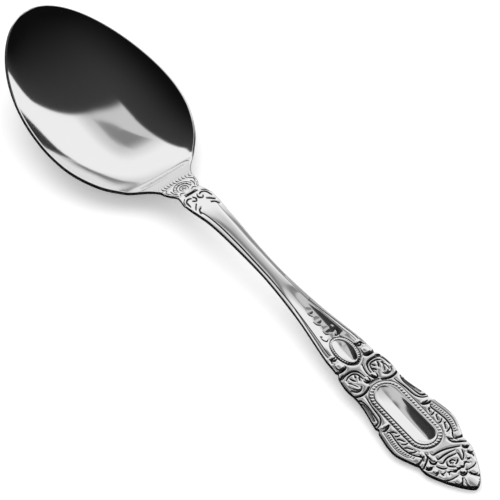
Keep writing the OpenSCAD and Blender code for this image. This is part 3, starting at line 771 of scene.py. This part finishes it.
def section_sheet(spoon, s, face_count, lip_count, back_count, lip):
    """Points of a sheet rolled round the spoon: each row goes over the face and back along the underside."""
    half = spoon.half(s)
    small = 1e-3
    slope = (spoon.half(s + small) - spoon.half(s - small)) / (2 * small)
    lean = np.hypot(1.0, slope)
    out_s, out_y = -slope / lean, 1.0 / lean
    out_s = np.where(s <= 0.0, -1.0, np.where(s >= spoon.length, 1.0, out_s))
    out_y = np.where((s <= 0.0) | (s >= spoon.length), 0.0, out_y)
    reach = np.full_like(s, lip) if np.isscalar(lip) else lip
    s_in = s - reach * out_s
    y_in = np.maximum(0.0, half - reach * out_y)
    closer = np.sin(np.linspace(-np.pi / 2, np.pi / 2, face_count))
    across = closer * 0.25 + np.linspace(-1, 1, face_count) * 0.75
    along_back = np.linspace(1.0, -1.0, back_count)
    s_face = np.repeat(s_in[:, None], face_count, 1)
    y_face = across * y_in[:, None]
    height, ink = strike(spoon, s_face, y_face)
    z_face = spoon.spine(s_face) + spoon.face(s_face, y_face, y_in[:, None]) + height
    s_back = np.repeat(s_in[:, None], back_count, 1)
    y_back = along_back * y_in[:, None]
    f_back = np.repeat(along_back[None, :], len(s), 0)
    hollow = -spoon.hollow(s_back) * (1.0 - np.abs(f_back) ** spoon.hollow_power)
    z_back = spoon.spine(s_back) + hollow - spoon.wall(s_back, f_back)
    turn = np.linspace(np.pi / 2, -np.pi / 2, lip_count + 2)[1:-1]
    bulge = np.cos(turn) * reach[:, None]
    rise = np.sin(turn)
    lips = []
    for hand, z_top, z_low in ((1, z_face[:, -1:], z_back[:, :1]), (-1, z_face[:, :1], z_back[:, -1:])):
        z = (z_top + z_low) / 2 + (z_top - z_low) / 2 * rise
        points = np.stack([s_in[:, None] + bulge * out_s[:, None],
                           hand * (y_in[:, None] + bulge * out_y[:, None]), z], 2)
        lips.append(points if hand > 0 else points[:, ::-1])
    face = np.stack([s_face, y_face, z_face], 2)
    back = np.stack([s_back, y_back, z_back], 2)
    sheet = np.concatenate([face, lips[0], back, lips[1], face[:, :1]], 1)
    blank = np.zeros((len(s), sheet.shape[1] - face_count))
    return sheet, np.concatenate([ink, blank], 1)


def roll_piece(name, sheet, ink):
    """Adds a grid, rolls it into the sheet's shape, welds its seam and closes its ends."""
    rows, columns = sheet.shape[:2]
    bpy.ops.object.select_all(action="DESELECT")
    bpy.ops.mesh.primitive_grid_add(x_subdivisions=columns - 1, y_subdivisions=rows - 1, size=1.0)
    piece = bpy.context.object
    piece.name = piece.data.name = name
    mesh = piece.data
    length = bpy.context.scene.spoon_sizes.length
    points = sheet.reshape(-1, 3) * MM - (length / 2, 0.0, 0.0)
    mesh.vertices.foreach_set("co", points.astype(np.float32).ravel())
    # The relief's painted shade is kept as a point attribute for the steel to read.
    dark = mesh.attributes.new("recess", "FLOAT", "POINT")
    dark.data.foreach_set("value", ink.astype(np.float32).ravel())
    for layer in list(mesh.uv_layers):
        mesh.uv_layers.remove(layer)
    mesh.update()
    bpy.ops.object.mode_set(mode="EDIT")
    bpy.ops.mesh.select_all(action="SELECT")
    bpy.ops.mesh.remove_doubles(threshold=WELD_DISTANCE)
    bpy.ops.mesh.select_all(action="SELECT")
    bpy.ops.mesh.fill_holes(sides=0)
    bpy.ops.mesh.select_all(action="SELECT")
    bpy.ops.mesh.normals_make_consistent(inside=False)
    bpy.ops.object.mode_set(mode="OBJECT")
    bpy.ops.object.shade_smooth_by_angle(angle=CREASE_ANGLE)
    return piece


def finish_piece(piece, material, slot, *nodes):
    piece.data.materials.clear()
    piece.data.materials.append(material)
    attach(piece, "root")
    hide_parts(*nodes)


# Materials


def feed(tree, node, inputs):
    """Gives a node's inputs their sockets or plain values."""
    for key, value in inputs.items():
        if isinstance(value, bpy.types.NodeSocket):
            tree.links.new(value, node.inputs[key])
        else:
            node.inputs[key].default_value = value


def add_node(tree, kind, inputs=None, **settings):
    node = tree.nodes.new(kind)
    for key, value in settings.items():
        setattr(node, key, value)
    feed(tree, node, inputs or {})
    return node


def math_node(tree, operation, *values):
    """The result of a math node fed by sockets or plain numbers."""
    return add_node(tree, "ShaderNodeMath", dict(enumerate(values)), operation=operation).outputs[0]


def smooth_node(tree, value, first, last, top=1.0):
    """A smooth step of a value from 0 at first to top at last."""
    inputs = {"Value": value, "From Min": first, "From Max": last, "To Max": top}
    node = add_node(tree, "ShaderNodeMapRange", inputs, interpolation_type="SMOOTHSTEP")
    return node.outputs["Result"]


def new_material(name):
    material = bpy.data.materials.new(name)
    material.use_nodes = True
    return material, material.node_tree


def new_group(name, inputs, outputs):
    """A node group with sockets of (name, kind), and the sockets of its input node."""
    group = bpy.data.node_groups.new(name, "ShaderNodeTree")
    for way, sockets in (("INPUT", inputs), ("OUTPUT", outputs)):
        for label, kind in sockets:
            group.interface.new_socket(name=label, in_out=way, socket_type="NodeSocket" + kind)
    return group, add_node(group, "NodeGroupInput").outputs


def wipe_marks_group():
    """Fine wipe marks and faint smears that a polishing cloth leaves on steel."""
    name = "wipe_marks"
    if name in bpy.data.node_groups:
        return bpy.data.node_groups[name]
    group, given = new_group(name, (("Vector", "Vector"), ("Smear", "Float"), ("Gloss", "Float")),
                             (("Roughness", "Float"), ("Height", "Float")))
    place = given["Vector"]
    stretch = add_node(group, "ShaderNodeMapping", {
        "Vector": place, "Scale": (60.0, 900.0, 900.0), "Rotation": (0.0, 0.0, 0.35)})
    hair = add_node(group, "ShaderNodeTexNoise", {
        "Vector": stretch.outputs["Vector"], "Scale": 6.0, "Detail": 4.0})
    smear = add_node(group, "ShaderNodeTexNoise", {"Vector": place, "Scale": 70.0, "Detail": 3.0})
    spread = math_node(group, "MULTIPLY", smear.outputs["Fac"], given["Smear"])
    rough = math_node(group, "ADD", spread, given["Gloss"])
    add_node(group, "NodeGroupOutput", {"Roughness": rough, "Height": hair.outputs["Fac"]})
    return group


def painted_shade_group():
    """Turns the attribute of painted shade in the relief's lines into a dark tone and a dull surface."""
    name = "recess_tone"
    if name in bpy.data.node_groups:
        return bpy.data.node_groups[name]
    group, given = new_group(
        name, (("Steel", "Color"), ("Dark", "Color"), ("Roughness", "Float"), ("Dull", "Float")),
        (("Color", "Color"), ("Roughness", "Float")))
    mask = add_node(group, "ShaderNodeAttribute", attribute_name="recess").outputs["Fac"]
    colours = {"Factor": mask, 6: given["Steel"], 7: given["Dark"]}
    tone = add_node(group, "ShaderNodeMix", colours, data_type="RGBA")
    levels = {"Factor": mask, 2: given["Roughness"], 3: given["Dull"]}
    dull = add_node(group, "ShaderNodeMix", levels, data_type="FLOAT")
    add_node(group, "NodeGroupOutput", {"Color": tone.outputs[2], "Roughness": dull.outputs[0]})
    return group


def steel(name, smear, wipe):
    """Polished stainless steel with wipe marks, and painted shade in the relief's lines."""
    if name in bpy.data.materials:
        return bpy.data.materials[name]
    finish = bpy.context.scene.spoon_finish
    material, tree = new_material(name)
    place = add_node(tree, "ShaderNodeTexCoord").outputs["Object"]
    marks = add_node(tree, "ShaderNodeGroup", node_tree=wipe_marks_group())
    feed(tree, marks, {"Vector": place, "Smear": smear, "Gloss": finish.gloss})
    tone = add_node(tree, "ShaderNodeGroup", node_tree=painted_shade_group())
    feed(tree, tone, {"Steel": (*finish.steel, 1.0), "Dark": (*finish.recess, 1.0), "Dull": finish.dull,
                      "Roughness": marks.outputs["Roughness"]})
    bump = add_node(tree, "ShaderNodeBump", {
        "Strength": wipe, "Distance": 0.00002, "Height": marks.outputs["Height"]})
    feed(tree, tree.nodes["Principled BSDF"], {
        "Metallic": 1.0, "Base Color": tone.outputs["Color"], "Roughness": tone.outputs["Roughness"],
        "Normal": bump.outputs["Normal"]})
    return material


# Operators


def current_spoon():
    return Spoon(bpy.context.scene.spoon_sizes)


class SPOON_OT_bowl(bpy.types.Operator):
    """Model the bowl, with its rounded rim and the fringe that runs out on it"""

    bl_idname = "spoon.bowl"
    bl_label = "Bowl"

    def execute(self, context):
        spoon = current_spoon()
        s = stations(0.0, spoon.collar_start, 230, tip_first=True)
        lip = mix(spoon.bowl_wall / 2, 0.55, ease(spoon.heel - 6.0, spoon.collar_start, s))
        sheet, ink = section_sheet(spoon, s, 141, 9, 71, lip)
        piece = roll_piece("spoon_bowl", sheet, ink)
        finish_piece(piece, steel("bowl_polish", smear=0.02, wipe=0.05), "bowl_steel", "bowl")
        return {"FINISHED"}


class SPOON_OT_neck(bpy.types.Operator):
    """Model the collar with its rosette, and the stem with its scrolls and grooves"""

    bl_idname = "spoon.neck"
    bl_label = "Collar and stem"

    def execute(self, context):
        spoon = current_spoon()
        polish = steel("handle_polish", smear=0.03, wipe=0.05)
        s = stations(spoon.collar_start, spoon.waist, 110)
        piece = roll_piece("spoon_collar", *section_sheet(spoon, s, 161, 13, 31, 0.5))
        finish_piece(piece, polish, "handle_steel", "collar", "rosette")
        s = stations(spoon.waist, spoon.field_start, 480)
        piece = roll_piece("spoon_stem", *section_sheet(spoon, s, 121, 13, 31, 0.4))
        finish_piece(piece, polish, "handle_steel", "stem", "stem_scrolls")
        return {"FINISHED"}


class SPOON_OT_field(bpy.types.Operator):
    """Model the field of drops with the small oval cartouche"""

    bl_idname = "spoon.field"
    bl_label = "Field of drops"

    def execute(self, context):
        spoon = current_spoon()
        s = stations(spoon.field_start, spoon.plate_start, 270)
        piece = roll_piece("spoon_drop_field", *section_sheet(spoon, s, 181, 13, 31, 0.35))
        finish_piece(piece, steel("relief_polish", smear=0.03, wipe=0.04), "relief_steel",
                     "drop_field", "drops", "oval_cartouche", "oval_beads", "leaf_tips")
        return {"FINISHED"}


class SPOON_OT_handle(bpy.types.Operator):
    """Model the struck handle plate with its medallions, cartouche and lobes, and the palmette at its tip"""

    bl_idname = "spoon.handle"
    bl_label = "Handle plate and tip"

    def execute(self, context):
        spoon = current_spoon()
        polish = steel("relief_polish", smear=0.03, wipe=0.04)
        s = stations(spoon.plate_start, spoon.palmette, 362)
        piece = roll_piece("spoon_handle_plate", *section_sheet(spoon, s, 215, 13, 25, 0.35))
        sided = [f"{hand}_{form}" for hand in ("left", "right")
                 for form in ("medallion", "scroll_edge", "crescent", "foliage")]
        finish_piece(piece, polish, "relief_steel", "handle_plate", "long_cartouche", "long_beads", *sided)
        s = stations(spoon.palmette, spoon.length, 240, tip_last=True)
        piece = roll_piece("spoon_handle_tip", *section_sheet(spoon, s, 191, 13, 25, 0.35))
        finish_piece(piece, polish, "relief_steel", "palmette", "pearls", "tip_lobes")
        return {"FINISHED"}


def floor_material(colour):
    """A matt floor that is a little brighter for the camera."""
    material, tree = new_material("pale_floor")
    camera_ray = add_node(tree, "ShaderNodeLightPath").outputs["Is Camera Ray"]
    feed(tree, tree.nodes["Principled BSDF"], {
        "Base Color": (*colour, 1.0), "Roughness": 0.9, "Specular IOR Level": 0.1, "Emission Color": WHITE,
        "Emission Strength": math_node(tree, "MULTIPLY", camera_ray, 0.3)})
    return material


def card_material(name, colour):
    """A card of one brightness. Where its Mix Shader's factor falls below 1, the backdrop shows through."""
    material, tree = new_material(name)
    tree.nodes.remove(tree.nodes["Principled BSDF"])
    glow = add_node(tree, "ShaderNodeEmission", {"Color": (*colour, 1.0)})
    clear = add_node(tree, "ShaderNodeBsdfTransparent")
    cover = add_node(tree, "ShaderNodeMixShader", {0: 1.0, 1: clear.outputs[0], 2: glow.outputs[0]})
    feed(tree, tree.nodes["Material Output"], {"Surface": cover.outputs[0]})
    return material


def tent_material(colour, middle):
    """Dark but for one bright quadrant with straight edges, with a pale patch and a grey cloud in its corner.

    The edges are straight on a level ceiling: u and v are the offsets from the bowl's middle over the height.
    """
    material = card_material("dark_tent", colour)
    tree = material.node_tree
    calc = partial(math_node, tree)
    step = partial(smooth_node, tree)
    place = add_node(tree, "ShaderNodeTexCoord").outputs["Object"]
    x, y, z = add_node(tree, "ShaderNodeSeparateXYZ", {0: place}).outputs
    level = calc("MAXIMUM", z, 0.3)
    u = calc("DIVIDE", calc("SUBTRACT", x, middle), level)
    v = calc("DIVIDE", y, level)
    # The two edges of the bright quadrant
    front = calc("SUBTRACT", calc("ADD", u, 0.135), step(v, 2.2, 4.6, 0.7))
    left = calc("SUBTRACT", calc("MULTIPLY_ADD", u, 0.085, 0.029), v)
    dark = calc("MAXIMUM", step(front, -0.03, 0.025), step(left, -0.035, 0.03))
    # The cloud, which has a slanting foot
    foot = calc("ADD", calc("MULTIPLY_ADD", u, 0.49, 0.353), step(u, -0.24, -0.16, 0.17))
    slant = calc("SUBTRACT", v, foot)
    ends = calc("MULTIPLY", step(u, -0.9, -0.45), step(u, -0.1, -0.16))
    sides = calc("MULTIPLY", step(slant, -0.02, 0.05), step(v, 0.54, 0.43))
    cloud = calc("MULTIPLY", calc("MULTIPLY", ends, sides), 0.78)
    # The pale patch round it, and a dimmer part low beyond the bowl's tip
    patch = calc("MULTIPLY", step(u, -1.1, -0.5), step(v, 0.85, 0.45, 0.36))
    low = calc("MULTIPLY", step(u, -1.8, -3.2), step(v, 0.2, 0.6, 0.2))
    dim = calc("MAXIMUM", calc("MAXIMUM", cloud, patch), low)
    feed(tree, tree.nodes["Mix Shader"], {0: calc("MAXIMUM", dark, dim)})
    # The dark is a little paler near the corner of the quadrant
    near = calc("MULTIPLY", step(left, 1.0, 0.0), step(front, 1.2, 0.0))
    feed(tree, tree.nodes["Emission"], {"Strength": calc("MULTIPLY_ADD", near, 7.0, 0.8)})
    return material


def dark_tent(material, radius):
    """A dome over the stage."""
    bpy.ops.object.select_all(action="DESELECT")
    bpy.ops.mesh.primitive_uv_sphere_add(segments=96, ring_count=48, radius=radius)
    tent = bpy.context.object
    tent.name = "dark_tent"
    bpy.ops.object.mode_set(mode="EDIT")
    bpy.ops.mesh.select_all(action="SELECT")
    bpy.ops.mesh.bisect(plane_co=(0.0, 0.0, 0.0), plane_no=(0.0, 0.0, 1.0), clear_inner=True)
    bpy.ops.object.mode_set(mode="OBJECT")
    tent.data.materials.append(material)
    return tent


def dark_card(name, material, corners):
    """A flat card through four corners."""
    bpy.ops.object.select_all(action="DESELECT")
    bpy.ops.mesh.primitive_plane_add(size=1.0)
    card = bpy.context.object
    card.name = name
    for vertex, corner in zip(card.data.vertices, corners):
        vertex.co = corner
    card.data.materials.append(material)
    return card


def glossy_only(card):
    """A card that only shows in the steel: it casts no shadow, lights nothing and isn't in the picture."""
    card.visible_camera = False
    card.visible_diffuse = False
    card.visible_shadow = False
    card.visible_transmission = False


def white_world():
    """White for the camera and in the steel, and dimmer as a light."""
    world = bpy.data.worlds.new("white_backdrop")
    bpy.context.scene.world = world
    world.use_nodes = True
    tree = world.node_tree
    ray = add_node(tree, "ShaderNodeLightPath").outputs
    shown = math_node(tree, "MAXIMUM", ray["Is Camera Ray"], ray["Is Glossy Ray"])
    clear = math_node(tree, "MAXIMUM", shown, ray["Is Transmission Ray"])
    level = add_node(tree, "ShaderNodeMapRange", {"Value": clear, "To Min": 0.75, "To Max": 1.0})
    feed(tree, tree.nodes["Background"], {"Color": WHITE, "Strength": level.outputs["Result"]})


class SPOON_OT_stage(bpy.types.Operator):
    """Set the floor, the soft light, the tent, the cards and the camera"""

    bl_idname = "spoon.stage"
    bl_label = "Stage"

    def execute(self, context):
        scene = context.scene
        stage = scene.spoon_stage
        bpy.ops.object.select_all(action="DESELECT")
        floor_drop = 0.0002
        bpy.ops.mesh.primitive_plane_add(size=4.0, location=(0.0, 0.0, -floor_drop))
        floor = context.object
        floor.name = "floor"
        floor.data.materials.append(floor_material(stage.floor))
        bowl_middle, tent_radius = -0.065, 20.0
        glossy_only(dark_tent(tent_material(stage.shade, bowl_middle), tent_radius))
        ends, sides, seam, lift = 0.3, 0.6, 0.004, 0.0003
        for name, colour, first, last in (("floor_card", stage.shade, -sides, seam),
                                          ("grey_card", stage.grey, seam, sides)):
            corners = [(x, y, lift) for y in (first, last) for x in (-ends, ends)]
            glossy_only(dark_card(name, card_material(name, colour), corners))
        white_world()
        bpy.ops.object.light_add(type="SUN")
        sun = context.object
        sun.name = "soft_light"
        sun.data.energy = stage.sun_power
        sun.data.angle = math.radians(60)
        sun.rotation_mode = "QUATERNION"
        towards = Vector((-0.35, 0.1, 1.0))
        sun.rotation_quaternion = towards.to_track_quat("Z", "Y")
        sun.visible_glossy = False
        a, e = stage.azimuth, stage.elevation
        away = Vector((math.sin(a) * math.cos(e), -math.cos(a) * math.cos(e), math.sin(e)))
        bpy.ops.object.camera_add()
        camera = context.object
        camera.name = "camera"
        camera.data.lens = stage.lens
        camera.data.sensor_width = SENSOR_WIDTH
        camera.rotation_mode = "QUATERNION"
        camera.location = Vector(stage.target) + away * stage.distance
        camera.rotation_quaternion = (-away).to_track_quat("-Z", "Y")
        camera.data.clip_end = 10.0
        scene.camera = camera
        scene.view_settings.view_transform = "Standard"
        return {"FINISHED"}


class SPOON_PT_sidebar(bpy.types.Panel):
    """Sidebar with the spoon's sizes, finish, stage and pieces"""

    bl_label = "Dinner spoon"
    bl_idname = "SPOON_PT_sidebar"
    bl_space_type = "VIEW_3D"
    bl_region_type = "UI"
    bl_category = "Spoon"

    def draw(self, context):
        scene = context.scene
        for settings in (scene.spoon_sizes, scene.spoon_finish, scene.spoon_stage):
            box = self.layout.box()
            for name in type(settings).__annotations__:
                box.prop(settings, name)
        for operator in OPERATORS:
            self.layout.operator(operator.bl_idname)


SETTINGS = {"spoon_sizes": SpoonSizes, "spoon_finish": SpoonFinish, "spoon_stage": SpoonStage}
OPERATORS = (SPOON_OT_bowl, SPOON_OT_neck, SPOON_OT_field, SPOON_OT_handle, SPOON_OT_stage)


def register():
    for kind in (*SETTINGS.values(), *OPERATORS, SPOON_PT_sidebar):
        bpy.utils.register_class(kind)
    for name, kind in SETTINGS.items():
        setattr(bpy.types.Scene, name, PointerProperty(type=kind))


def unregister():
    for name in SETTINGS:
        delattr(bpy.types.Scene, name)
    for kind in (SPOON_PT_sidebar, *reversed(OPERATORS), *SETTINGS.values()):
        bpy.utils.unregister_class(kind)


def main():
    register()
    bpy.ops.spoon.bowl()
    bpy.ops.spoon.neck()
    bpy.ops.spoon.field()
    bpy.ops.spoon.handle()
    bpy.ops.spoon.stage()


if __name__ == "__main__":
    main()
